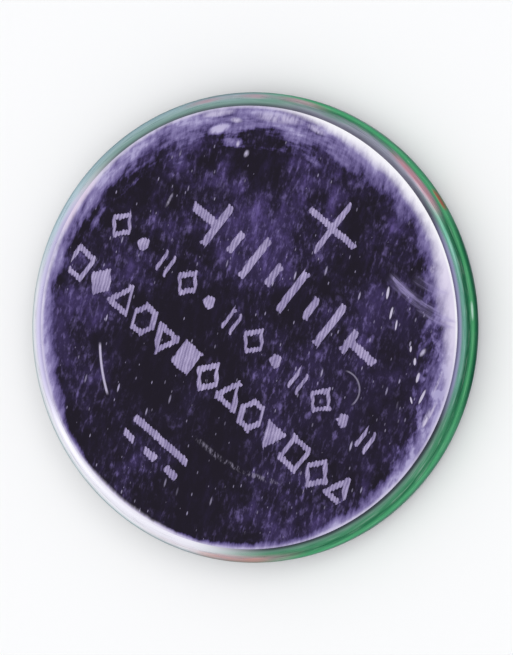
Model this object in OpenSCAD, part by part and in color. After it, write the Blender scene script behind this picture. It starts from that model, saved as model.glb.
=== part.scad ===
// Lithium coin cell: a flat round battery cell, 20 mm across and 1.6 mm high.
// The axis of the cell is the Z axis. The cell lies on its negative cap, whose
// face is at z = 0, and the face of the positive can is on top.

/* [Cell] */
// Outside diameter of the cell
cell_d = 20; // [18:0.5:24.5]
// Height from the face of the cap to the face of the can
cell_h = 1.6; // [1.35:0.05:3.2]

/* [Positive can] */
// Thickness of the can's steel sheet
can_t = 0.2; // [0.15:0.01:0.22]
// Outside radius of the drawn shoulder round the positive face
shoulder_r = 0.6; // [0.4:0.05:0.65]
// Outside radius of the crimp that turns the open end of the wall inwards
crimp_r = 0.5; // [0.35:0.05:0.6]
// Reach of the crimped lip inwards from the outside of the wall
lip_reach = 1.0; // [0.8:0.05:1.15]

/* [Negative cap] */
// Thickness of the cap's steel sheet
cap_t = 0.18; // [0.14:0.01:0.22]
// Height of the cap's face above the can's crimped lip
cap_proud = 0.12; // [0.06:0.01:0.2]
// Outside radius of the rounded edge round the negative face
cap_edge_r = 0.35; // [0.25:0.01:0.4]
// Width of the cap's sunken shoulder, from its raised side to its skirt
cap_shoulder_w = 0.65; // [0.6:0.01:0.9]
// Inside radius of the two bends between the raised side and the skirt
cap_bend_r = 0.05; // [0.03:0.01:0.1]
// Slit between the two layers of the hemmed skirt
hem_slit = 0.04; // [0.03:0.01:0.06]
// Straight length of the hem's outer layer
hem_len = 0.25; // [0.1:0.01:0.3]

/* [Gasket] */
// Thickness of the gasket's outer wall, between the can and the cap's skirt
gasket_wall = 0.27; // [0.2:0.01:0.35]
// Thickness of the gasket's base, between the can's floor and the cap's hem
gasket_base = 0.12; // [0.08:0.01:0.2]
// Thickness of the gasket's lip, between the can's lip and the cap's shoulder
gasket_lip = 0.14; // [0.1:0.01:0.2]
// Gap between the gasket's lip and the cap's raised side
gasket_gap = 0.06; // [0.03:0.01:0.15]
// Thickness of the gasket's inner wall, inside the cap's skirt
gasket_inner = 0.28; // [0.15:0.01:0.3]
// Height of the gasket's inner wall below the top of the hem
gasket_inner_h = 0.26; // [0.1:0.01:0.3]

/* [Anode, separator and cathode] */
// Thickness of the lithium disc
lithium_t = 0.28; // [0.15:0.01:0.35]
// Gap between the lithium disc and the inside of the cap's raised side
lithium_gap = 0.4; // [0.3:0.05:1.0]
// Radius of the edge that the punch leaves on the lithium disc
lithium_edge_r = 0.06; // [0.02:0.01:0.1]
// Thickness of the separator
separator_t = 0.14; // [0.08:0.01:0.18]
// Gap between the separator and the inside of the cap's raised side
separator_gap = 0.1; // [0.06:0.01:0.3]
// Height of the separator's turned-up rim above its disc
separator_rim = 0.3; // [0.1:0.01:0.4]
// Gap between the separator's rim and the cathode pellet
pellet_gap = 0.15; // [0.05:0.01:0.5]
// Bevel round both edges of the pressed cathode pellet
pellet_bevel = 0.08; // [0.02:0.01:0.15]

/* [Current collector] */
// Thickness of the grid between the pellet and the can
collector_t = 0.1; // [0.05:0.01:0.15]
// Distance from the edge of the pellet to the edge of the grid
collector_inset = 0.5; // [0.2:0.1:1.5]
// Least width of the plain rim round the holes of the grid
collector_rim = 0.45; // [0.2:0.05:1]
// Distance between the centres of two neighbouring holes
hole_pitch = 1.35; // [1.3:0.05:2.5]
// Width of the metal between two neighbouring holes
web_w = 0.35; // [0.2:0.05:0.6]

/* [Hidden] */
$fn = 96;
// Clearance between curved faces that press on each other in the closed cell
fit = 0.02;

// The can, from its outside inwards
can_r = cell_d / 2;
can_bore_r = can_r - can_t;
lip_r = can_r - lip_reach;
lip_z = cap_proud;
lip_top_z = lip_z + can_t;
floor_z = cell_h - can_t;

// The cap, from its hem inwards. Its bends are given by the sheet's two skins.
hem_r = can_bore_r - fit - gasket_wall - fit;
skirt_r = hem_r - cap_t - hem_slit;
cap_bore_r = skirt_r - cap_t;
cap_side_r = skirt_r - cap_shoulder_w;
cap_inner_r = cap_side_r - cap_t;
step_z = lip_top_z + fit + gasket_lip + fit;
hem_top_z = floor_z - fit - gasket_base - fit;
fold_r = cap_t + hem_slit / 2;
fold_centre = [cap_bore_r + fold_r, hem_top_z - fold_r];
hem_end_z = fold_centre.y - hem_len;

// The gasket
bead_r = gasket_lip / 2;
bead_centre = [cap_side_r + gasket_gap + bead_r, lip_top_z + fit + bead_r];
gasket_bore_r = cap_bore_r - fit - gasket_inner;
gasket_inner_z = hem_top_z - gasket_inner_h;

// The stack inside, from the cap up to the can's floor
lithium_r = cap_inner_r - lithium_gap;
separator_r = cap_inner_r - separator_gap;
pellet_r = separator_r - separator_t - pellet_gap;
collector_r = pellet_r - collector_inset;
separator_z = cap_t + lithium_t;
pellet_z = separator_z + separator_t;
collector_z = floor_z - collector_t;

// A quarter of a disc with its corner at the centre, turned by a number of
// right angles from the quarter that lies outwards and up
module quarter_disc(centre, radius, turns = 0)
  translate(centre)
    rotate(90 * turns)
      intersection() {
        circle(r = radius);
        square(2 * radius);
      }

// Half section of a round body from the axis out to r, from z0 up to z1, whose
// lower and upper outer edges may be rounded
module round_section(r, z0, z1, lower_r = 0, upper_r = 0) {
  translate([0, z0 + lower_r])
    square([r, z1 - z0 - lower_r - upper_r]);
  if (lower_r > 0) {
    translate([0, z0])
      square([r - lower_r, lower_r]);
    quarter_disc([r - lower_r, z0 + lower_r], lower_r, 3);
  }
  if (upper_r > 0) {
    translate([0, z1 - upper_r])
      square([r - upper_r, upper_r]);
    quarter_disc([r - upper_r, z1 - upper_r], upper_r);
  }
}

// Half section of the space inside the can, less a gap all round
module can_space(gap = 0)
  round_section(
    can_bore_r - gap,
    lip_top_z + gap,
    floor_z - gap,
    crimp_r - can_t - gap,
    shoulder_r - can_t - gap
  );

// Half section of all that lies above one skin of the cap's bowl and below a
// height: the raised face, its side, the step and the foot of the skirt. The
// skin is the distance that it lies inside the cap's outer skin.
module cap_bowl(skin, top_z) {
  side_r = cap_side_r - skin;
  flat_z = step_z + skin;
  bend = cap_bend_r + skin;
  round_section(side_r, skin, flat_z, lower_r = cap_edge_r - skin);
  round_section(skirt_r - skin, flat_z, top_z, lower_r = cap_bend_r + cap_t - skin);
  difference() {
    translate([side_r, flat_z - bend])
      square(bend);
    translate([side_r + bend, flat_z - bend])
      circle(r = bend);
  }
}

// Half section of the round fold at the top of the cap's hem
module fold(radius) {
  quarter_disc(fold_centre, radius);
  quarter_disc(fold_centre, radius, 1);
}

// One sheet of steel, drawn into a cup and crimped inwards at its open end
module positive_can()
  color([0.27, 0.24, 0.37])
    rotate_extrude()
      difference() {
        round_section(can_r, lip_z, cell_h, crimp_r, shoulder_r);
        can_space();
        square([lip_r, lip_z + crimp_r]);
      }

// One sheet of steel, drawn into a stepped bowl whose skirt is folded double
module negative_cap()
  color([0.77, 0.78, 0.8])
    rotate_extrude()
      difference() {
        union() {
          cap_bowl(0, fold_centre.y);
          fold(fold_r);
          translate([skirt_r + hem_slit, hem_end_z])
            square([cap_t, hem_len]);
        }
        cap_bowl(cap_t, fold_centre.y);
        fold(hem_slit / 2);
      }

// Moulded ring that fills the room between the can and the cap. It wraps the
// cap's skirt, and its lip shows as a thin ring between the two metals.
module gasket()
  color([0.32, 0.33, 0.35])
    rotate_extrude() {
      difference() {
        can_space(fit);
        square([bead_centre.x, step_z]);
        translate([0, step_z]) {
          square([gasket_bore_r, cell_h]);
          square([cap_bore_r - fit, hem_top_z + fit - step_z]);
        }
        cap_bowl(-fit, fold_centre.y);
        translate([cap_bore_r, hem_end_z - fit])
          square([hem_r + fit - cap_bore_r, hem_len + fit]);
        fold(fold_r + fit);
      }
      translate([gasket_bore_r, gasket_inner_z])
        square([gasket_inner, floor_z - fit - gasket_inner_z]);
      quarter_disc(bead_centre, bead_r, 1);
      quarter_disc(bead_centre, bead_r, 2);
    }

// Pressed disc of black powder
module cathode_pellet()
  color([0.13, 0.13, 0.14])
    rotate_extrude()
      polygon([
        [0, pellet_z],
        [pellet_r - pellet_bevel, pellet_z],
        [pellet_r, pellet_z + pellet_bevel],
        [pellet_r, collector_z - pellet_bevel],
        [pellet_r - pellet_bevel, collector_z],
        [0, collector_z]
      ]);

// Punched steel grid welded to the can's floor
module current_collector()
  color([0.6, 0.61, 0.63])
    translate([0, 0, collector_z])
      linear_extrude(collector_t)
        difference() {
          circle(r = collector_r);
          collector_holes();
        }

// Six-sided holes in rows, as many as leave the rim whole
module collector_holes() {
  hole_r = (hole_pitch - web_w) / 2 / cos(30);
  row_step = hole_pitch * sin(60);
  rows = floor(collector_r / row_step);
  columns = floor(collector_r / hole_pitch) + 1;
  for (row = [-rows:rows], column = [-columns:columns]) {
    centre = [(column + abs(row) % 2 / 2) * hole_pitch, row * row_step];
    if (norm(centre) + hole_r + collector_rim <= collector_r)
      translate(centre)
        rotate(30)
          circle(r = hole_r, $fn = 6);
  }
}

// Sheet of felted plastic fibre, its rim turned up round the pellet
module separator()
  color([0.93, 0.93, 0.9])
    rotate_extrude()
      difference() {
        round_section(separator_r, separator_z, pellet_z + separator_rim, separator_t);
        translate([0, pellet_z])
          square([separator_r - separator_t, separator_rim]);
      }

// Disc punched from soft lithium sheet, pressed on to the inside of the cap
module lithium_disc()
  color([0.72, 0.72, 0.7])
    rotate_extrude()
      round_section(lithium_r, cap_t, separator_z, upper_r = lithium_edge_r);

positive_can();
gasket();
negative_cap();
cathode_pellet();
current_collector();
separator();
lithium_disc();
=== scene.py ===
import math
import random

import bpy
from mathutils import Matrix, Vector, geometry


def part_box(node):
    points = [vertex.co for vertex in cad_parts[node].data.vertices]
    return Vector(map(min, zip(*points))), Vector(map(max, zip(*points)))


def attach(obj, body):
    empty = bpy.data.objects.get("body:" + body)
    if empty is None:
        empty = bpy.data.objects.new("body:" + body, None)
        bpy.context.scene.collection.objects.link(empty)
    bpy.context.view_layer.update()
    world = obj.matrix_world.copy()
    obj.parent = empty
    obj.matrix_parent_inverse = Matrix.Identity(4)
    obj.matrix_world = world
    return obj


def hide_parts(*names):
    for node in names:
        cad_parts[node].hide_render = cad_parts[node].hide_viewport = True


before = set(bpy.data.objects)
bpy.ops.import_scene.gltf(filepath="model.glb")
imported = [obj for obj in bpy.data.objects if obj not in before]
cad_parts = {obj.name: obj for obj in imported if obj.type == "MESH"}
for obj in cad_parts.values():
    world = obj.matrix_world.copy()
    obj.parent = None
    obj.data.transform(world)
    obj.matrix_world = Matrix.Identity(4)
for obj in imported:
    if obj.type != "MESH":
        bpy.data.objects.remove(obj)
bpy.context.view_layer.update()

# Positive can. A shallow cup drawn from nickel-plated stainless steel sheet, the plus side of the
# cell. Its flat face is etched with the polarity cross and plain marks and shows a painted dark
# reflection with a painted highlight round its rim, its drawn corner and wall are handled and carry
# painted reflections, mostly green, and its mouth is crimped inward over the gasket.
MM = 0.001
can_low, can_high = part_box("positive_can")
can_r = round(can_high.x / MM, 2)
face_z = round(can_high.z / MM, 2)
lip_z = round(can_low.z / MM, 2)
can_t = 0.2
shoulder_r = 0.6
crimp_r = 0.5
lip_r = 9.0
lip_edge_r = 0.03
flat_r = 8.5
roll_drop = 0.015
inside_r = can_r - can_t
corner_r = can_r - shoulder_r
corner_z = face_z - shoulder_r - roll_drop
crimp_z = lip_z + crimp_r
around = 288
crease_angle = math.radians(35)
plain_face, mark_floor, drawn_wall, inner_face = range(4)


def arc(centre_r, centre_z, radius, start, end, steps):
    """Points (r, z) along an arc, with its angles in degrees above the outward direction."""
    angles = [math.radians(start + (end - start) * i / steps) for i in range(steps + 1)]
    return [(centre_r + radius * math.cos(a), centre_z + radius * math.sin(a)) for a in angles]


def straight(start, end, steps):
    """Points (r, z) after start, up to and with end."""
    return [
        tuple(s + (e - s) * i / steps for s, e in zip(start, end)) for i in range(1, steps + 1)
    ]


def ring(radius, z):
    """One turn of points at a radius and a height."""
    turns = [2 * math.pi * i / around for i in range(around)]
    return [(radius * math.cos(t), radius * math.sin(t), z) for t in turns]


def band_faces(upper, lower):
    """Quads between two rings, each given by the number of its first point."""
    return [
        (upper + i, lower + i, lower + (i + 1) % around, upper + (i + 1) % around)
        for i in range(around)
    ]


def make_piece(name, points, faces, materials, numbers=None):
    """A smooth-shaded mesh in metres from points in millimetres, with its sharp edges kept."""
    mesh = bpy.data.meshes.new(name)
    mesh.from_pydata([[c * MM for c in p] for p in points], [], faces)
    for material in materials:
        mesh.materials.append(material)
    if numbers:
        mesh.polygons.foreach_set("material_index", numbers)
    mesh.polygons.foreach_set("use_smooth", [True] * len(faces))
    mesh.set_sharp_from_angle(angle=crease_angle)
    mesh.update()
    piece = bpy.data.objects.new(name, mesh)
    bpy.context.scene.collection.objects.link(piece)
    return piece


# The marks are cut by straight passes of the etching tool, side by side and all at one lean. They
# stand in rows that run across the face at row_turn.
pass_pitch = 0.137
pass_lean = math.radians(74)
pass_jitter = 0.035
pass_point = 0.05
shortest_pass = 0.1
shortest_side = 0.04
steepest_end = 2.4
row_turn = math.radians(-39.7)
mark_depth = 0.025
marker = random.Random(7)


def to_passes(x, y):
    """Face coordinates as (across the passes, along the passes)."""
    return (
        x * math.sin(pass_lean) - y * math.cos(pass_lean),
        x * math.cos(pass_lean) + y * math.sin(pass_lean),
    )


def from_passes(across, along):
    """The passes' coordinates as face coordinates."""
    return (
        across * math.sin(pass_lean) + along * math.cos(pass_lean),
        along * math.sin(pass_lean) - across * math.cos(pass_lean),
    )


def on_row(u, v):
    """A point u along a row and v above the face's middle, in the passes' coordinates."""
    return to_passes(
        u * math.cos(row_turn) - v * math.sin(row_turn),
        u * math.sin(row_turn) + v * math.cos(row_turn),
    )


def crossings(outline, across):
    """Where an outline crosses the middle line of a pass, each with the outline's slope there."""
    found = []
    for (s0, t0), (s1, t1) in zip(outline, outline[1:] + outline[:1]):
        if (s0 - across) * (s1 - across) < 0:
            slope = (t1 - t0) / (s1 - s0)
            found.append((t0 + slope * (across - s0), slope))
    return sorted(found)


def passes_over(outline):
    """Cuts a convex outline into one pass of six points for each step of the pitch."""
    strips = []
    first = math.floor(min(s for s, _ in outline) / pass_pitch)
    last = math.ceil(max(s for s, _ in outline) / pass_pitch)
    for k in range(first, last):
        left, right = k * pass_pitch, (k + 1) * pass_pitch
        middle = (left + right) / 2
        ends = crossings(outline, middle)
        if len(ends) != 2:
            continue
        (low, low_slope), (high, high_slope) = ends
        low -= marker.uniform(-1, 1) * pass_jitter
        high += marker.uniform(-1, 1) * pass_jitter
        if high - low < shortest_pass:
            continue
        steepest = min(steepest_end, (high - low - shortest_side) / pass_pitch)
        low_turn = max(-steepest, min(steepest, low_slope)) * pass_pitch / 2
        high_turn = max(-steepest, min(steepest, high_slope)) * pass_pitch / 2
        low_point = pass_point if abs(low_slope) < 1 else 0
        high_point = pass_point if abs(high_slope) < 1 else 0
        strips.append([
            (left, low - low_turn),
            (middle, low - low_point),
            (right, low + low_turn),
            (right, high + high_turn),
            (middle, high + high_point),
            (left, high - high_turn),
        ])
    return strips


def stroke(u0, v0, u1, v1, width):
    """The passes of one straight stroke with square ends."""
    run = Vector((u1 - u0, v1 - v0)).normalized() * width / 2
    side = Vector((-run.y, run.x))
    start, end = Vector((u0, v0)) - run, Vector((u1, v1)) + run
    return passes_over([on_row(*p) for p in (start - side, end - side, end + side, start + side)])


def figure(u, v, wide, high, sides, turn=0.0):
    """The corners of a regular figure stretched to a width and a height."""
    angles = [math.radians(turn) + 2 * math.pi * i / sides for i in range(sides)]
    return [(u + wide / 2 * math.cos(a), v + high / 2 * math.sin(a)) for a in angles]


def filled(corners):
    """The passes of a filled figure."""
    return passes_over([on_row(*corner) for corner in corners])


def outlined(corners, width):
    """The passes of a figure's outline, drawn with strokes of a width."""
    return [
        strip
        for start, end in zip(corners, corners[1:] + corners[:1])
        for strip in stroke(*start, *end, width)
    ]


def polarity_cross():
    """The plus sign of the can's side."""
    u, v, arm, width = 0.33, 5.7, 1.18, 0.25
    return stroke(u - arm, v, u + arm, v, width) + stroke(u, v - arm, u, v + arm, width)


def battery_symbol():
    """Long and short plates between two leads, as a circuit drawing shows a battery."""
    v, start, pitch, width, plates = 2.5, -3.75, 1.1, 0.33, 8
    left_lead, right_lead = -5.0, 5.25
    short_plate, long_plate = 0.36, 0.86
    end = start + (plates - 1) * pitch
    strips = stroke(left_lead, v, start, v, width) + stroke(end, v, right_lead, v, width)
    for i in range(plates):
        u = start + i * pitch
        reach = short_plate if i % 2 else long_plate
        strips += stroke(u, v - reach, u, v + reach, width)
    return strips


def small_row():
    """Small open diamonds, dots and paired bars by turns."""
    first, v, pitch, count, width = -7.15, -0.22, 1.3, 12, 0.17
    diamond_wide, diamond_high, dot, bar_reach = 0.95, 1.05, 0.56, 0.4
    strips = []
    for i in range(count):
        u = first + i * pitch
        if i % 3 == 0:
            strips += outlined(figure(u, v, diamond_wide, diamond_high, 4), width)
        elif i % 3 == 1:
            strips += filled(figure(u, v, dot, dot, 10))
        else:
            for bar_u in (u - 0.2, u + 0.22):
                strips += stroke(bar_u, v - bar_reach, bar_u, v + bar_reach, width)
    return strips


def figure_row():
    """Open and filled squares, diamonds, triangles and hexagons by turns."""
    first, v, pitch, count, width = -7.6, -2.7, 1.27, 13, 0.2
    kinds = [(4, 45, 1.55), (4, 0, 1.3), (3, 90, 1.4), (6, 0, 1.3), (3, -90, 1.4)]
    strips = []
    for i in range(count):
        sides, turn, size = kinds[i % len(kinds)]
        u = first + i * pitch
        if i % 4 == 1:
            strips += filled(figure(u, v, size * 0.9, size * 1.05, sides, turn))
        else:
            strips += outlined(figure(u, v, size * 0.78, size * 0.95, sides, turn), width)
    return strips


def direct_current_symbol():
    """A bar over three dashes."""
    bar_v, dash_v, dash_reach, width = -6.15, -6.95, 0.2, 0.28
    strips = stroke(-1.3, bar_v, 1.5, bar_v, width)
    for u in (-1.15, 0.1, 1.35):
        strips += stroke(u - dash_reach, dash_v, u + dash_reach, dash_v, width)
    return strips


def engraved_face(strips):
    """The flat face up to its outer ring, as triangles, with every pass sunk to the marks' floor."""
    outer = ring(flat_r, face_z)
    corners = [to_passes(x, y) for x, y, _ in outer] + [c for s in strips for c in s]
    shapes = [list(range(around))]
    shapes += [[around + 6 * i + j for j in range(6)] for i in range(len(strips))]
    all_faces = 0
    least_gap = 1e-5
    places_in = [Vector(c) for c in corners]
    cut = geometry.delaunay_2d_cdt(places_in, [], shapes, all_faces, least_gap)
    places, triangles, first_points, origins = cut[0], cut[2], cut[3], cut[5]
    points = list(outer)
    tops = {}
    floors = {}

    def top(i):
        if i not in tops:
            given = [n for n in first_points[i] if n < around]
            tops[i] = given[0] if given else len(points)
            if not given:
                points.append((*from_passes(*places[i]), face_z))
        return tops[i]

    def floor(i):
        if i not in floors:
            floors[i] = len(points)
            points.append((*from_passes(*places[i]), face_z - mark_depth))
        return floors[i]

    etched = [any(n > 0 for n in origin) for origin in origins]
    faces = []
    numbers = []
    open_sides = set()
    for triangle, cut_here in zip(triangles, etched):
        faces.append([floor(i) if cut_here else top(i) for i in triangle])
        numbers.append(mark_floor if cut_here else plain_face)
        if not cut_here:
            open_sides |= {(triangle[j - 1], triangle[j]) for j in range(3)}
    for triangle, cut_here in zip(triangles, etched):
        for j in range(3):
            start, end = triangle[j - 1], triangle[j]
            if cut_here and (end, start) in open_sides:
                faces.append([floor(end), floor(start), top(start), top(end)])
                numbers.append(mark_floor)
    return points, faces, numbers


def can_profile():
    """The can's section after the flat face: roll-off, shoulder, wall, crimp, lip and inside."""
    steps = 12
    section = [
        (flat_r + (corner_r - flat_r) * i / steps, face_z - roll_drop * (i / steps) ** 2)
        for i in range(1, steps + 1)
    ]
    section += arc(corner_r, corner_z, shoulder_r, 86, 0, 26)
    section += straight((can_r, corner_z), (can_r, crimp_z), 5)
    section += arc(can_r - crimp_r, crimp_z, crimp_r, -4, -90, 22)
    lip_round_r = lip_r + lip_edge_r
    lip_top_z = lip_z + can_t
    section += straight((can_r - crimp_r, lip_z), (lip_round_r, lip_z), 5)
    section += arc(lip_round_r, lip_z + lip_edge_r, lip_edge_r, -110, -180, 3)
    section += straight((lip_r, lip_z + lip_edge_r), (lip_r, lip_top_z - lip_edge_r), 2)
    section += arc(lip_round_r, lip_top_z - lip_edge_r, lip_edge_r, 160, 90, 3)
    inner_crimp = crimp_r - can_t
    inner_corner = shoulder_r - can_t
    section += straight((lip_round_r, lip_top_z), (inside_r - inner_crimp, lip_top_z), 5)
    section += arc(inside_r - inner_crimp, crimp_z, inner_crimp, -82, 0, 11)
    section += straight((inside_r, crimp_z), (inside_r, corner_z), 5)
    return section + arc(inside_r - inner_corner, corner_z, inner_corner, 8, 90, 11)


class Wire:
    """A socket in a material's node tree. Sums written on it add Math nodes."""

    def __init__(self, tree, socket=None):
        self.tree = tree
        self.socket = socket

    def plug(self, made, inputs):
        """Links wires to a node's sockets, and sets the sockets that are given a plain value."""
        for name, value in inputs.items():
            if isinstance(value, Wire):
                self.tree.links.new(value.socket, made.inputs[name])
            else:
                made.inputs[name].default_value = value

    def node(self, kind, settings=None, inputs=None, output=0):
        """Adds a node of a type, gives it its settings and then its inputs, and returns an output."""
        made = self.tree.nodes.new("ShaderNode" + kind)
        for name, value in (settings or {}).items():
            if name == "stops":
                bar = made.color_ramp.elements
                for place, colour in value[1:-1]:
                    bar.new(place).color = colour
                bar[0].position, bar[0].color = value[0]
                bar[-1].position, bar[-1].color = value[-1]
            else:
                setattr(made, name, value)
        self.plug(made, inputs or {})
        return Wire(self.tree, made.outputs[output])

    def beside(self, output):
        """Another output of the same node."""
        return Wire(self.tree, self.socket.node.outputs[output])

    def math(self, operation, *others):
        """This and the others, in this order, through one Math node."""
        return self.node("Math", {"operation": operation}, dict(enumerate((self, *others))))

    def __add__(self, other):
        return self.math("ADD", other)

    def __sub__(self, other):
        return self.math("SUBTRACT", other)

    def __mul__(self, other):
        return self.math("MULTIPLY", other)

    def __truediv__(self, other):
        return self.math("DIVIDE", other)

    __radd__ = __add__
    __rmul__ = __mul__

    def __rsub__(self, other):
        return self.node("Math", {"operation": "SUBTRACT"}, {0: other, 1: self})

    def __rtruediv__(self, other):
        return self.node("Math", {"operation": "DIVIDE"}, {0: other, 1: self})

    def rise(self, start, end):
        """0 up to start, 1 from end on, and a smooth step between them."""
        return self.node(
            "MapRange",
            {"interpolation_type": "SMOOTHSTEP"},
            {"Value": self, "From Min": start, "From Max": end},
        )

    def blend(self, low, high):
        """The colour low where this is 0 and high where it is 1."""
        return self.node("Mix", {"data_type": "RGBA"}, {0: self, 6: low, 7: high}, 2)

    def ramp(self, *stops):
        """The colour that a row of (place, colour) stops has where this is."""
        return self.node("ValToRGB", {"stops": stops}, {"Fac": self})

    def bump(self, strength, distance):
        """A normal bent by this as a height."""
        return self.node("Bump", {}, {"Height": self, "Strength": strength, "Distance": distance})

    def vector(self, **parts):
        """A vector from X, Y and Z, where one that isn't given is 0."""
        return self.node("CombineXYZ", {}, parts)


def shade(red, green, blue):
    """A colour as a screen shows it, from 0 to 255, made linear."""
    parts = [c / 255 for c in (red, green, blue)]
    return (*[p / 12.92 if p <= 0.04045 else ((p + 0.055) / 1.055) ** 2.4 for p in parts], 1)


def new_finish(name):
    """A material, the start of its wiring and its shader."""
    material = bpy.data.materials.new(name)
    material.use_nodes = True
    tree = material.node_tree
    shader = next(n for n in tree.nodes if n.type == "BSDF_PRINCIPLED")
    return material, Wire(tree), shader


def in_millimetres(wire):
    """The point on the piece in millimetres, as one vector and as x, y and z."""
    place = wire.node("TexCoord", output="Object")
    place = wire.node("VectorMath", {"operation": "SCALE"}, {0: place, "Scale": 1 / MM})
    x = wire.node("SeparateXYZ", {}, {0: place})
    return place, x, x.beside("Y"), x.beside("Z")


def noise(vector, scale, detail=2.0, rough=0.5):
    """Cloudy noise from 0 to 1, most of it near a half."""
    inputs = {"Vector": vector, "Scale": scale, "Detail": detail, "Roughness": rough}
    return vector.node("TexNoise", {}, inputs)


def from_middle(x, y):
    """The distance from where x and y are both 0."""
    return (x * x + y * y).math("SQRT")


def facing(x, y, degrees):
    """The cosine of the angle round the cell from a direction: 1 there, and -1 opposite."""
    turn = math.radians(degrees)
    return (x * math.cos(turn) + y * math.sin(turn)) / (from_middle(x, y) + 0.001)


def round_the_cell(x, y, turns, depth):
    """A place for noise that follows the turn round the cell and some depth."""
    return x.vector(X=facing(x, y, 0) * turns, Y=facing(x, y, 90) * turns, Z=depth)


def pass_space(x, y, stretch):
    """The face laid out along the passes' lean, stretched that many times along them."""
    across = x * math.sin(pass_lean) - y * math.cos(pass_lean)
    along = x * math.cos(pass_lean) + y * math.sin(pass_lean)
    return x.vector(X=across, Y=along * (1 / stretch))


def highest(mask, *others):
    """The highest of several masks at each point."""
    for other in others:
        mask = mask.math("MAXIMUM", other)
    return mask


def curved_scratch(x, y, centre, radius, middle, half_turn, width):
    """An arc of a circle, seen as a thin line that fades out at its ends."""
    dx, dy = x - centre[0], y - centre[1]
    line = (from_middle(dx, dy) - radius).math("ABSOLUTE").rise(width, width * 0.3)
    reach = math.cos(math.radians(half_turn))
    return line * facing(dx, dy, middle).rise(reach, reach + 0.4 * (1 - reach))


def brush_mark(x, y, centre, radius, middle, half_turn, width):
    """A sweep of fine side-by-side scratches along an arc of a circle."""
    dx, dy = x - centre[0], y - centre[1]
    away = from_middle(dx, dy)
    swept = x.vector(X=away * 6.5, Y=facing(dx, dy, middle + 90) * radius * 0.5)
    fine = noise(swept, 1.0, 3, 0.65).rise(0.42, 0.64)
    band = (away - radius).math("ABSOLUTE").rise(width, width * 0.2)
    reach = math.cos(math.radians(half_turn))
    return band * (fine * 0.85 + 0.15) * facing(dx, dy, middle).rise(reach, reach + 0.6 * (1 - reach))


def spot(x, y, centre, degrees, long, wide, full=-0.3):
    """A soft oval, its long side along a direction, and the crisper the higher full is."""
    turn = math.radians(degrees)
    dx, dy = x - centre[0], y - centre[1]
    along = (dx * math.cos(turn) + dy * math.sin(turn)) * (2 / long)
    across = (dy * math.cos(turn) - dx * math.sin(turn)) * (2 / wide)
    return (along * along + across * across).rise(1.0, full)


def dashes(laid, scale, size, share):
    """Short bright nicks on that share of a scatter of points, as long as the space is stretched."""
    cells = laid.node("TexVoronoi", {"voronoi_dimensions": "2D"}, {"Vector": laid, "Scale": scale})
    lot = laid.node("SeparateColor", {}, {0: cells.beside("Color")})
    reach = (lot.beside("Green") * 0.7 + 0.3) * (size * scale)
    chosen = lot.rise(1 - share, 1.04 - share)
    return (cells / reach).rise(1.0, 0.4) * chosen * (lot.beside("Blue") * 0.6 + 0.4)


def dark_reflection_and_bloom(place, x, y, streaks, grain, lumps):
    """Near-black painted dark reflection on the face, with a violet bloom and paler flecks, barest at
    the lower left and right.
    """
    radius = from_middle(x, y)
    clouds = noise(place, 0.3, 6, 0.66)
    bare = facing(x, y, 228).rise(0.3, 0.95) * radius.rise(7.5, 5.5) * radius.rise(0.0, 3.0)
    bare = bare + facing(x, y, 0).rise(0.93, 1.0) * radius.rise(5.0, 6.5) * radius.rise(8.6, 7.8)
    bare = bare + facing(x, y, -40).rise(0.86, 0.99) * radius.rise(3.0, 5.0) * radius.rise(8.6, 7.6)
    bloom = clouds.rise(0.45, 0.64) * (streaks * 1.1 + 0.12) + streaks.rise(0.46, 0.74) * 0.4
    bloom = bloom + spot(x, y, (0.8, 3.8), -60, 7.5, 2.4) * streaks.rise(0.35, 0.65) * 0.5
    # Painted reflection: the bloom brightens towards the rim and the top.
    outward = 0.6 + radius.rise(2, 9.2) * 0.25 + facing(x, y, 75) * radius * 0.03
    colour = (bloom * outward * (1 - bare * 0.5)).ramp(
        (0.0, shade(35, 31, 41)),
        (0.25, shade(43, 37, 58)),
        (0.6, shade(62, 52, 90)),
        (1.0, shade(92, 78, 132)),
    )
    flecks = grain.rise(0.5, 0.76) * clouds.rise(0.42, 0.62) * (1 - bare * 0.7)
    flecks = flecks + lumps.rise(0.56, 0.74) * clouds.rise(0.44, 0.6) * 0.75
    return (flecks * 0.95).blend(colour, shade(116, 103, 156)), flecks


def nicks_over(colour, x, y, streaks):
    """Lays short bright nicks over a colour, closer together at the right."""
    brushed = pass_space(x, y, 3.0)
    nicks = highest(
        dashes(pass_space(x, y, 4.5), 1.3, 0.06, 0.4),
        dashes(brushed, 2.9, 0.04, 0.36) * 0.75,
    )
    busy = facing(x, y, -6).rise(0.8, 0.98) * from_middle(x, y).rise(6.0, 7.2) * 0.8
    nicks = highest(nicks * streaks.rise(0.3, 0.5), dashes(brushed, 2.2, 0.05, 0.7) * busy)
    return nicks.blend(colour, shade(172, 164, 196))


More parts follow.
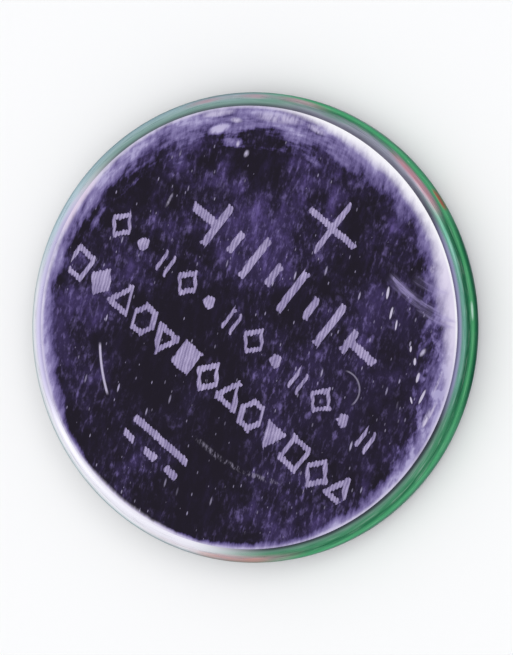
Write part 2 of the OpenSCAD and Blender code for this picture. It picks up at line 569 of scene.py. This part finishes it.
def painted_rim_sheen_over(colour, x, y, streaks, grain, lumps):
    """Lays the rim's painted reflection, a violet haze, and its painted white highlight over a colour.
    The painted reflection reaches in farthest on the right and at the top, and hardly at all at the
    bottom."""
    radius = from_middle(x, y)
    edge = corner_r - radius
    patches = noise(pass_space(x, y, 1.6), 0.9, 3, 0.55)
    sheen_streaks = noise(round_the_cell(x, y, 5, radius * 2.4), 1.0, 4, 0.6)
    upper = facing(x, y, 108).rise(0.4, 0.85)
    # The haze is a painted reflection; how far it reaches in from the edge changes round the cell.
    reach = 0.36 + facing(x, y, 30).rise(0.1, 1.0) * 0.85 + facing(x, y, 4).rise(0.9, 1.0) * 0.2
    reach = reach + facing(x, y, 100).rise(0.5, 1.0) * 0.95 + facing(x, y, 165).rise(0.5, 1.0) * 0.5
    reach = reach - facing(x, y, 228).rise(0.7, 0.95) * 0.18 + facing(x, y, 326).rise(0.8, 1.0) * 0.3
    haze = 1.0 - edge / reach + (patches - 0.5) * 1.3 + (streaks - 0.5) * (1.3 - upper * 0.6)
    haze = haze + (grain - 0.5) * 0.9 + (sheen_streaks - 0.54) * upper * 2.2
    lumpy = lumps.rise(0.48, 0.7) * facing(x, y, -18).rise(0.82, 0.98) * radius.rise(7.2, 8.3)
    haze = haze + lumpy * 0.55
    top_bright_patch = spot(x, y, (-1.2, 8.44), 18, 1.3, 0.5) * (streaks * 1.6 + grain * 0.8 - 0.3)
    haze = haze + top_bright_patch * 1.2 + spot(x, y, (-0.8, 8.1), -32, 2.2, 1.1) * (streaks * 2.4 - 0.6)
    violet = haze.ramp(
        (0.0, shade(48, 41, 68)),
        (0.25, shade(80, 70, 114)),
        (0.5, shade(116, 105, 153)),
        (0.75, shade(140, 130, 176)),
        (1.0, shade(172, 164, 204)),
    )
    colour = (haze.rise(-0.05, 0.3) * radius.rise(6.9, 7.8)).blend(colour, violet)
    # Painted highlight: a pale zone, widest at the right, and a thin white line at the edge.
    light = 0.3 + facing(x, y, 34).rise(0.6, 0.96) * 0.7 + facing(x, y, 150).rise(0.8, 1.0) * 0.08
    light = light + facing(x, y, 233).rise(0.93, 1.0) * 0.25 - facing(x, y, 272).rise(0.9, 1.0) * 0.12
    wide = 0.1 + light * light * 0.4 + facing(x, y, 1).rise(0.92, 1.0) * 0.4
    pale = highest(
        1 - edge / wide + (streaks - 0.5) + (patches - 0.5) * 0.8,
        top_bright_patch * 1.3 - 0.3,
    )
    highlight_white = facing(x, y, 48).rise(0.8, 0.97).blend(shade(222, 214, 235), shade(246, 244, 250))
    colour = (pale.rise(-0.2, 0.9) * light.rise(-0.1, 0.9)).blend(colour, highlight_white)
    line = (edge * (1 - facing(x, y, 148).rise(0.85, 1.0) * 0.5)).rise(0.13, 0.04)
    line = line * (sheen_streaks.rise(0.3, 0.6) * 0.6 + 0.4) * light.rise(0.1, 0.8) * 0.9
    colour = line.blend(colour, shade(248, 247, 251))
    # A painted highlight wedge on the upper left edge.
    highlight_wedge = facing(x, y, 145).rise(0.984, 0.998) * edge.rise(0.28, 0.05)
    return (highlight_wedge * 0.8).blend(colour, shade(222, 206, 228))


def wear_over(colour, x, y, streaks, grain):
    """Lays the placed scratches, bright spots, short cuts and swept marks over a colour."""
    bright_spots = (
        ((-0.42, 8.8), -8, 0.7, 0.3),
        ((3.18, 8.34), -28, 1.1, 0.36),
        ((1.5, 8.86), -9, 2.7, 0.6),
        ((-1.2, 9.1), 7, 1.9, 0.34),
        ((-0.35, 7.8), 78, 0.36, 0.2),
        ((0.04, 7.37), 62, 0.42, 0.26),
        ((-3.46, 5.43), 62, 0.8, 0.16),
        ((8.33, 2.46), 80, 0.5, 0.32),
        ((7.9, -1.05), 50, 0.5, 0.24),
        ((8.55, -2.3), 68, 1.4, 0.14),
        ((8.05, -3.8), 66, 1.1, 0.3),
        ((8.3, -3.5), 62, 1.2, 0.15),
    )
    cuts = (
        ((6.35, 1.45), 80, 0.6, 0.13),
        ((6.5, 0.6), 76, 0.6, 0.11),
        ((6.72, 0.1), 80, 0.5, 0.09),
        ((7.36, -0.9), 84, 0.3, 0.1),
        ((7.54, -1.43), 86, 0.36, 0.13),
        ((7.67, -2.1), 74, 0.5, 0.14),
        ((7.86, -2.9), 63, 0.75, 0.13),
        ((7.38, -3.05), 104, 0.34, 0.09),
        ((8.0, -3.95), 64, 0.5, 0.12),
    )
    rough = streaks.rise(0.36, 0.56) * 0.6 + grain.rise(0.38, 0.58) * 0.7
    scratches_and_spots = highest(
        curved_scratch(x, y, (0.95, -0.58), 7.6, 189, 9, 0.075),
        curved_scratch(x, y, (2.6, 0.36), 7.0, 244, 19, 0.15) * grain.rise(0.46, 0.6) * 0.3,
        curved_scratch(x, y, (4.3, -2.6), 0.8, 10, 70, 0.05) * 0.4,
        *[spot(x, y, *bright_spot) * rough for bright_spot in bright_spots],
    )
    colour = (scratches_and_spots * (streaks * 0.5 + 0.6)).blend(colour, shade(196, 188, 216))
    sharp = highest(*[spot(x, y, *cut, full=0.4) for cut in cuts])
    colour = (sharp * (streaks * 0.7 + 0.5)).blend(colour, shade(208, 200, 224))
    swept = highest(
        brush_mark(x, y, (11.43, 6.68), 6.75, 234, 13, 0.3),
        brush_mark(x, y, (11.5, 6.9), 7.15, 245, 8, 0.34) * 0.8,
        brush_mark(x, y, (10.9, 6.9), 5.9, 243, 9, 0.3) * 0.6,
    )
    return (swept * 0.75).blend(colour, shade(160, 149, 196))


def face_steel():
    """Steel with a painted dark reflection and brushed violet bloom, and a painted highlight where the
    face rolls off.
    """
    material, wire, shader = new_finish("face_painted_reflection")
    place, x, y, _ = in_millimetres(wire)
    brushed = pass_space(x, y, 3.0)
    streaks = noise(brushed, 1.6, 6, 0.72)
    grain = noise(brushed, 6.0, 3, 0.62)
    lumps = noise(pass_space(x, y, 1.7), 2.3, 3, 0.6)
    colour, flecks = dark_reflection_and_bloom(place, x, y, streaks, grain, lumps)
    colour = nicks_over(colour, x, y, streaks)
    colour = painted_rim_sheen_over(colour, x, y, streaks, grain, lumps)
    colour = wear_over(colour, x, y, streaks, grain)
    wire.plug(
        shader,
        {
            "Base Color": colour,
            "Metallic": 1.0,
            "Roughness": 0.28 + streaks * 0.16 + flecks * 0.12,
            "Normal": (streaks * 0.6 + grain * 0.4).bump(0.35, 0.004 * MM),
        },
    )
    return material


def etched_steel():
    """The floor of the marks: pale, matt and ribbed by the passes that cut it."""
    material, wire, shader = new_finish("etched_marks")
    place, x, y, _ = in_millimetres(wire)
    across = x * math.sin(pass_lean) - y * math.cos(pass_lean)
    streaks = noise(pass_space(x, y, 4.0), 4.5, 4, 0.7)
    patches = noise(place, 0.9, 3, 0.6)
    wavy = across + (noise(place, 3.0, 2) - 0.5) * 0.12
    ribs = 0.5 - (wavy * (2 * math.pi / pass_pitch)).math("COSINE") * 0.5
    tone = ribs * (0.25 + patches * 0.3) + streaks.rise(0.32, 0.68) * 0.4 + patches.rise(0.35, 0.65) * 0.2
    wire.plug(
        shader,
        {
            "Base Color": tone.blend(shade(106, 94, 139), shade(190, 179, 214)),
            "Metallic": 0.55,
            "Roughness": 0.5 + streaks * 0.2,
            "Normal": (ribs * 0.5 + streaks * 0.5).bump(0.5, 0.008 * MM),
        },
    )
    return material


def pale_side(x, y, level):
    """The wall's painted reflections on its left side, seen from above: bare steel at the bottom, then
    lilac, then sky blue, and teal at the top."""
    steel = level.ramp(
        (0.0, shade(224, 222, 234)),
        (0.02, shade(238, 236, 246)),
        (0.1, shade(234, 232, 243)),
        (0.2, shade(242, 242, 248)),
        (0.32, shade(228, 234, 240)),
        (0.4, shade(178, 198, 204)),
        (0.55, shade(206, 212, 217)),
        (1.0, shade(140, 143, 150)),
    )
    lilac = level.ramp(
        (0.0, shade(164, 156, 195)),
        (0.03, shade(186, 180, 211)),
        (0.08, shade(208, 204, 225)),
        (0.14, shade(232, 231, 241)),
        (0.3, shade(238, 240, 244)),
        (0.42, shade(204, 216, 221)),
        (0.55, shade(206, 212, 217)),
        (1.0, shade(140, 143, 150)),
    )
    teal = level.ramp(
        (0.0, shade(70, 66, 82)),
        (0.012, shade(80, 86, 94)),
        (0.035, shade(122, 152, 146)),
        (0.12, shade(146, 174, 176)),
        (0.3, shade(160, 184, 194)),
        (0.55, shade(128, 142, 148)),
        (1.0, shade(92, 104, 104)),
    )
    colour = facing(x, y, 172).rise(0.78, 0.95).blend(steel, lilac)
    sky_blue = facing(x, y, 128).rise(0.72, 0.94) * level.rise(0.02, 0.1) * level.rise(0.7, 0.4)
    colour = (sky_blue * 0.85).blend(colour, shade(178, 202, 214))
    return facing(x, y, 106).rise(0.74, 0.95).blend(colour, teal)


def green_side(x, y, level):
    """The wall's painted green reflections, darkest and most banded at the far right."""
    banded = level.ramp(
        (0.0, shade(60, 54, 84)),
        (0.01, shade(98, 92, 126)),
        (0.017, shade(148, 148, 184)),
        (0.026, shade(134, 150, 168)),
        (0.036, shade(102, 148, 138)),
        (0.06, shade(110, 166, 150)),
        (0.085, shade(82, 138, 118)),
        (0.11, shade(36, 98, 72)),
        (0.15, shade(30, 88, 62)),
        (0.19, shade(50, 126, 86)),
        (0.26, shade(86, 170, 116)),
        (0.36, shade(66, 148, 96)),
        (0.46, shade(46, 118, 74)),
        (0.62, shade(28, 86, 52)),
        (1.0, shade(40, 82, 64)),
    )
    leafy = level.ramp(
        (0.0, shade(50, 50, 60)),
        (0.014, shade(56, 62, 70)),
        (0.03, shade(98, 136, 120)),
        (0.06, shade(78, 140, 108)),
        (0.1, shade(66, 134, 98)),
        (0.14, shade(46, 112, 78)),
        (0.19, shade(48, 120, 84)),
        (0.27, shade(80, 164, 114)),
        (0.4, shade(98, 188, 134)),
        (0.6, shade(88, 176, 124)),
        (0.8, shade(66, 136, 98)),
        (1.0, shade(60, 90, 76)),
    )
    return facing(x, y, 3).rise(0.87, 0.97).blend(leafy, banded)


def painted_reflections_over(colour, x, y, level, drawn, slow):
    """Lays painted reflections over the wall's colour: grey haze, pink, red and coral, and one
    painted gleam.
    """
    above = level + (drawn - 0.5) * 0.24 + facing(x, y, 84).rise(0.8, 0.98) * 0.08
    hazy = facing(x, y, 55).rise(0.86, 0.97) * above.rise(0.26, 0.08)
    greyness = drawn * 0.7 + level.rise(0.0, 0.05) * 0.5 - 0.12
    colour = (hazy * 0.9).blend(colour, greyness.blend(shade(56, 52, 70), shade(170, 168, 190)))
    pink = drawn.blend(shade(158, 124, 140), shade(208, 172, 184))
    rosy = facing(x, y, 88).rise(0.93, 0.99) * level.rise(0.36, 0.24) * level.rise(0.08, 0.16)
    rosy = rosy + facing(x, y, -98).rise(0.9, 1.0) * level.rise(0.75, 0.3) * level.rise(0.04, 0.16) * 0.8
    colour = (rosy * slow.rise(0.3, 0.6) * (drawn * 0.6 + 0.6)).blend(colour, pink)
    blush = facing(x, y, 39).rise(0.98, 0.998) * level.rise(0.24, 0.12) * level.rise(0.03, 0.1)
    colour = (blush * (drawn.rise(0.3, 0.6) * 0.6 + 0.35)).blend(colour, shade(178, 126, 138))
    red = facing(x, y, 32.5).rise(0.998, 0.99985) * level.rise(0.26, 0.42) * level.rise(0.75, 0.5)
    colour = (red * (drawn.rise(0.25, 0.5) * 0.4 + 0.5)).blend(colour, shade(208, 74, 60))
    coral = facing(x, y, 266).rise(0.98, 0.999) * level.rise(0.62, 0.34) * level.rise(0.08, 0.2)
    colour = (coral * (drawn.rise(0.35, 0.55) * 0.5 + 0.15)).blend(colour, shade(206, 140, 128))
    # A painted highlight: one short gleam on the right.
    gleam = facing(x, y, 4).rise(0.9988, 0.9999) * level.rise(0.21, 0.25) * level.rise(0.33, 0.27)
    return (gleam * 0.8).blend(colour, shade(196, 232, 216))


def wall_steel():
    """Polished steel with painted reflections: green, thinning to teal, pink and pale steel round the
    cell.
    """
    material, wire, shader = new_finish("wall_painted_reflection")
    place, x, y, z = in_millimetres(wire)
    wall_h = 1.5
    drop = face_z - z
    drawn = noise(round_the_cell(x, y, 5, drop * 9), 1.0, 4, 0.6)
    slow = noise(place, 0.35, 3, 0.5)
    level = (drop + (drawn - 0.5) * drop.rise(0, 0.2) * 0.14) / wall_h * (1.5 - facing(x, y, 0) * 0.5)
    # The painted green reflection covers the right side and gives way to pale steel low on the wall.
    reflection_fade = (level + (drawn - 0.5) * 0.4 + (slow - 0.5) * 0.3).rise(0.6, 0.86) * 0.8
    green_reflection = facing(x, y, -6).rise(-0.2, 0.24) * (1 - reflection_fade)
    colour = green_reflection.blend(pale_side(x, y, level), green_side(x, y, level))
    colour = painted_reflections_over(colour, x, y, level, drawn, slow)
    lines = noise(round_the_cell(x, y, 9, drop * 40), 1.0, 3, 0.6)
    lined = drop.rise(0.0, 0.1)
    colour = (lines.rise(0.5, 0.75) * lined * 0.2).blend(colour, shade(226, 232, 232))
    colour = (lines.rise(0.5, 0.3) * lined * 0.24).blend(colour, shade(24, 30, 32))
    unrolled = wire.vector(X=y.math("ARCTAN2", x) * 4.0, Y=z * 3.0)
    dings = dashes(unrolled, 0.9, 0.09, 0.3) * drop.rise(0.1, 0.3)
    colour = (dings * 0.7).blend(colour, shade(214, 222, 222))
    wire.plug(
        shader,
        {
            "Base Color": colour,
            "Metallic": 1.0,
            "Roughness": 0.16 + drawn * 0.12 + lines * 0.14,
            "Specular Tint": shade(166, 186, 184),
            "Normal": (drawn * 0.6 + lines * 0.4).bump(0.3, 0.01 * MM),
        },
    )
    return material


def plain_steel():
    """Clean nickel-plated steel, faintly brushed in rings by the press."""
    material, wire, shader = new_finish("plated_steel")
    place, x, y, z = in_millimetres(wire)
    turned = wire.vector(X=from_middle(x, y) * 9.0, Y=z * 3.0, Z=facing(x, y, 0) * 0.6)
    rings = noise(turned, 1.0, 3, 0.6)
    haze = noise(place, 0.5, 4, 0.6)
    wire.plug(
        shader,
        {
            "Base Color": (rings * 0.4 + haze * 0.6).blend(shade(150, 151, 156), shade(206, 206, 210)),
            "Metallic": 1.0,
            "Roughness": 0.24 + haze * 0.2,
            "Normal": rings.bump(0.25, 0.004 * MM),
        },
    )
    return material


marks = polarity_cross() + battery_symbol() + small_row() + figure_row() + direct_current_symbol()
can_points, can_faces, can_numbers = engraved_face(marks)
previous = 0
slack = 0.001
for section_r, section_z in can_profile():
    here = len(can_points)
    can_points += ring(section_r, section_z)
    can_faces += band_faces(previous, here)
    on_face = section_r <= corner_r + slack and section_z > face_z - 2 * roll_drop
    can_numbers += [plain_face if on_face else drawn_wall] * around
    previous = here
can_faces.append(tuple(previous + i for i in range(around)))
can_numbers.append(inner_face)
steel = plain_steel()
can = make_piece(
    "crimped_can", can_points, can_faces, [face_steel(), etched_steel(), wall_steel(), steel], can_numbers
)
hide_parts("positive_can")
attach(can, "root")

# Current collector. A thin steel grid with six-sided holes, punched from strip and spot-welded to
# the can's floor, so that the pressed powder keeps touching the can.
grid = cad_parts["current_collector"]


def put_on(node, material):
    """Gives a CAD node one finish in place of its plain colour."""
    node.data.materials.clear()
    node.data.materials.append(material)
    for face in node.data.polygons:
        face.material_index = 0


def punched_steel():
    """Bright strip with fine rolling lines along it."""
    material, wire, shader = new_finish("punched_strip")
    place, x, y, z = in_millimetres(wire)
    lines = noise(wire.vector(X=x * 0.5, Y=y * 14.0, Z=z * 6.0), 1.0, 3, 0.6)
    haze = noise(place, 0.7, 4, 0.6)
    wire.plug(
        shader,
        {
            "Base Color": (lines * 0.5 + haze * 0.5).blend(shade(132, 134, 138), shade(188, 189, 192)),
            "Metallic": 1.0,
            "Roughness": 0.28 + lines * 0.2,
            "Normal": lines.bump(0.3, 0.004 * MM),
        },
    )
    return material


put_on(grid, punched_steel())

# Cathode pellet. Manganese dioxide powder with a little carbon and binder, pressed hard into a
# black disc with bevelled edges; it crumbles a little at its faces.
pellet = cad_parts["cathode_pellet"]


def pressed_powder():
    """Matt black grains of two sizes, with a few that glint."""
    material, wire, shader = new_finish("pressed_powder")
    place, *_ = in_millimetres(wire)
    coarse = noise(place, 6.0, 4, 0.7)
    fine = noise(place, 24.0, 3, 0.6)
    lumps = noise(place, 0.8, 3, 0.5)
    tone = coarse * 0.5 + fine * 0.3 + lumps * 0.2
    colour = tone.rise(0.3, 0.75).blend(shade(20, 20, 22), shade(62, 61, 64))
    colour = (fine.rise(0.7, 0.8) * 0.7).blend(colour, shade(112, 112, 116))
    wire.plug(
        shader,
        {
            "Base Color": colour,
            "Roughness": 0.92 - fine * 0.2,
            "Normal": (coarse * 0.7 + fine * 0.3).bump(0.8, 0.03 * MM),
        },
    )
    return material


put_on(pellet, pressed_powder())

# Separator. Melt-blown plastic fibre felted into a thin white sheet, wet with electrolyte, with
# its rim turned up round the pellet to keep the two poles apart.
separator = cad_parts["separator"]


def felted_fibre():
    """White felt of crossing fibres with thin and thick places."""
    material, wire, shader = new_finish("felted_fibre")
    place, x, y, z = in_millimetres(wire)
    one_way = wire.vector(X=x * 1.2 + y * 0.4, Y=(y - x * 0.3) * 12.0, Z=z * 8.0)
    other_way = wire.vector(X=(x + y * 0.5) * 12.0, Y=y * 1.2 - x * 0.5, Z=z * 8.0)
    fibres = highest(noise(one_way, 1.0, 3, 0.6), noise(other_way, 1.0, 3, 0.6))
    weight = noise(place, 1.1, 4, 0.6)
    thickness = (fibres * 0.6 + weight * 0.4).rise(0.35, 0.7)
    wire.plug(
        shader,
        {
            "Base Color": thickness.blend(shade(206, 206, 198), shade(246, 246, 242)),
            "Roughness": 0.7 + fibres * 0.2,
            "Normal": fibres.bump(0.7, 0.02 * MM),
        },
    )
    return material


put_on(separator, felted_fibre())

# Lithium disc. Soft silvery metal punched from rolled sheet and pressed on to the cap's floor; it
# keeps the grain of the rollers and dulls to grey in patches.
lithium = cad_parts["lithium_disc"]


def rolled_lithium():
    """Soft satin metal with a roller grain and grey skin in patches."""
    material, wire, shader = new_finish("rolled_lithium")
    place, x, y, z = in_millimetres(wire)
    grain = noise(wire.vector(X=x * 7.0, Y=y * 0.4, Z=z * 4.0), 1.0, 4, 0.65)
    skin = noise(place, 0.45, 5, 0.6)
    colour = grain.blend(shade(164, 164, 160), shade(206, 206, 201))
    colour = (skin.rise(0.5, 0.68) * 0.7).blend(colour, shade(128, 129, 134))
    wire.plug(
        shader,
        {
            "Base Color": colour,
            "Metallic": 0.9,
            "Roughness": 0.42 + skin.rise(0.45, 0.7) * 0.25,
            "Normal": (grain * 0.7 + skin * 0.3).bump(0.4, 0.012 * MM),
        },
    )
    return material


put_on(lithium, rolled_lithium())

# Gasket. A ring moulded in grey polypropylene that wraps the cap's skirt and keeps it off the can.
# Only its lip shows, as a thin line between the crimp and the cap.
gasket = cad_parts["gasket"]


def moulded_plastic():
    """Grey milky plastic with faint flow marks round the ring."""
    material, wire, shader = new_finish("moulded_gasket")
    place, x, y, z = in_millimetres(wire)
    flow = wire.vector(X=from_middle(x, y) * 5.0, Y=z * 5.0, Z=facing(x, y, 20) * 1.5)
    flow_marks = noise(flow, 1.0, 3, 0.55)
    pits = noise(place, 9.0, 2)
    milkiness = (flow_marks * 0.7 + pits * 0.3).rise(0.3, 0.7)
    wire.plug(
        shader,
        {
            "Base Color": milkiness.blend(shade(88, 91, 96), shade(122, 125, 130)),
            "Roughness": 0.4 + pits * 0.2,
            "Normal": pits.bump(0.3, 0.004 * MM),
        },
    )
    return material


put_on(gasket, moulded_plastic())

# Negative cap. A shallow bowl pressed from plated steel sheet, its face raised below the crimp and
# its skirt folded back on itself in a hem that the gasket grips.
cap_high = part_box("negative_cap")[1]
cap_t = 0.18
cap_hem_r = round(cap_high.x / MM, 2)
cap_top_z = round(cap_high.z / MM, 2)
hem_slit = 0.04
hem_len = 0.25
cap_shoulder_w = 0.65
cap_edge_r = 0.35
cap_bend_r = 0.05
step_z = 0.5


def cap_profile():
    """The cap's section: its outer skin from the axis to the hem, and its inner skin back."""
    skirt_r = cap_hem_r - cap_t - hem_slit
    bore_r = skirt_r - cap_t
    side_r = skirt_r - cap_shoulder_w
    wide_bend = cap_bend_r + cap_t
    fold_r = cap_t + hem_slit / 2
    fold_z = cap_top_z - fold_r
    hem_r = skirt_r + hem_slit
    hem_z = fold_z - hem_len
    outer = arc(side_r - cap_edge_r, cap_edge_r, cap_edge_r, -90, 0, 14)
    outer += straight((side_r, cap_edge_r), (side_r, step_z - cap_bend_r), 2)
    outer += arc(side_r + cap_bend_r, step_z - cap_bend_r, cap_bend_r, 176, 90, 5)
    outer += straight((side_r + cap_bend_r, step_z), (skirt_r - wide_bend, step_z), 4)
    outer += arc(skirt_r - wide_bend, step_z + wide_bend, wide_bend, -86, 0, 8)
    outer += straight((skirt_r, step_z + wide_bend), (skirt_r, fold_z), 4)
    outer += arc(bore_r + fold_r, fold_z, hem_slit / 2, 174, 0, 6)
    outer += straight((hem_r, fold_z), (hem_r, hem_z), 3)
    outer += straight((hem_r, hem_z), (cap_hem_r, hem_z), 1)
    outer += straight((cap_hem_r, hem_z), (cap_hem_r, fold_z), 3)
    inner = arc(bore_r + fold_r, fold_z, fold_r, 6, 180, 20)
    inner += straight((bore_r, fold_z), (bore_r, step_z + wide_bend), 3)
    inner += arc(bore_r - cap_bend_r, step_z + wide_bend, cap_bend_r, -6, -90, 5)
    inner += straight((bore_r - cap_bend_r, step_z + cap_t), (side_r + cap_bend_r, step_z + cap_t), 4)
    inner += arc(side_r + cap_bend_r, step_z - cap_bend_r, wide_bend, 94, 180, 8)
    inner += straight((side_r - cap_t, step_z - cap_bend_r), (side_r - cap_t, cap_edge_r), 2)
    return outer + inner + arc(side_r - cap_edge_r, cap_edge_r, cap_edge_r - cap_t, -6, -90, 8)


def turned(section):
    """Rings along a section, closed by a flat round face at each end."""
    points = []
    faces = []
    for number, place in enumerate(section):
        points += ring(*place)
        if number:
            faces += band_faces((number - 1) * around, number * around)
    last_ring = (len(section) - 1) * around
    faces.append(tuple(reversed(range(around))))
    faces.append(tuple(last_ring + i for i in range(around)))
    return points, faces


cap_points, cap_faces = turned(cap_profile())
cap = make_piece("hemmed_cap", cap_points, cap_faces, [steel])
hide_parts("negative_cap")
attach(cap, "root")

# Studio. A plain pale floor under the cell, a soft sky all round, and two wide lamps, the stronger
# at the upper right. A long lens looks down on the cell, tilted towards its right side.
lens = 250
sensor = 36
tilt = math.radians(20)
frame_h = 655
cell_h_px = 470
aside = 0.19
cell_centre = Vector((0, 0, face_z / 2)) * MM
distance = 2 * can_r * MM * lens / sensor * frame_h / cell_h_px
floor_half = 1.2


def floor_finish():
    """Matt white board, very slightly uneven in tone."""
    material, wire, shader = new_finish("pale_floor")
    place, *_ = in_millimetres(wire)
    tone = noise(place, 0.02, 2).blend(shade(247, 247, 248), shade(250, 250, 250))
    wire.plug(shader, {"Base Color": tone, "Roughness": 0.9})
    return material


floor_mesh = bpy.data.meshes.new("floor")
floor_corners = [(-floor_half, -floor_half, 0), (floor_half, -floor_half, 0)]
floor_corners += [(floor_half, floor_half, 0), (-floor_half, floor_half, 0)]
floor_mesh.from_pydata(floor_corners, [], [(0, 1, 2, 3)])
floor_mesh.materials.append(floor_finish())
floor_piece = bpy.data.objects.new("floor", floor_mesh)
bpy.context.scene.collection.objects.link(floor_piece)


def lamp(name, place, size, power):
    """A square soft lamp in metres and watts that looks at the cell."""
    light = bpy.data.lights.new(name, "AREA")
    light.size = size
    light.energy = power
    holder = bpy.data.objects.new(name, light)
    holder.location = place
    holder.rotation_euler = (cell_centre - Vector(place)).to_track_quat("-Z", "Y").to_euler()
    bpy.context.scene.collection.objects.link(holder)


lamp("key_lamp", (0.13, 0.12, 0.17), 0.08, 0.034)
lamp("fill_lamp", (-0.16, -0.02, 0.14), 0.1, 0.012)

world = bpy.data.worlds.new("soft_sky")
world.use_nodes = True
sky = world.node_tree.nodes["Background"]
sky.inputs["Color"].default_value = (0.98, 0.985, 0.995, 1)
sky.inputs["Strength"].default_value = 1.0
bpy.context.scene.world = world

camera_data = bpy.data.cameras.new("camera")
camera_data.lens = lens
camera_data.sensor_width = sensor
camera_data.clip_start = 0.01
camera_data.clip_end = 5
camera = bpy.data.objects.new("camera", camera_data)
away = Vector((math.sin(tilt), 0, math.cos(tilt)))
right = Vector((math.cos(tilt), 0, -math.sin(tilt)))
aim = cell_centre + right * aside * MM
camera.location = aim + away * distance
camera.rotation_euler = (0, tilt, 0)
bpy.context.scene.collection.objects.link(camera)
bpy.context.scene.camera = camera
bpy.context.scene.view_settings.view_transform = "Standard"
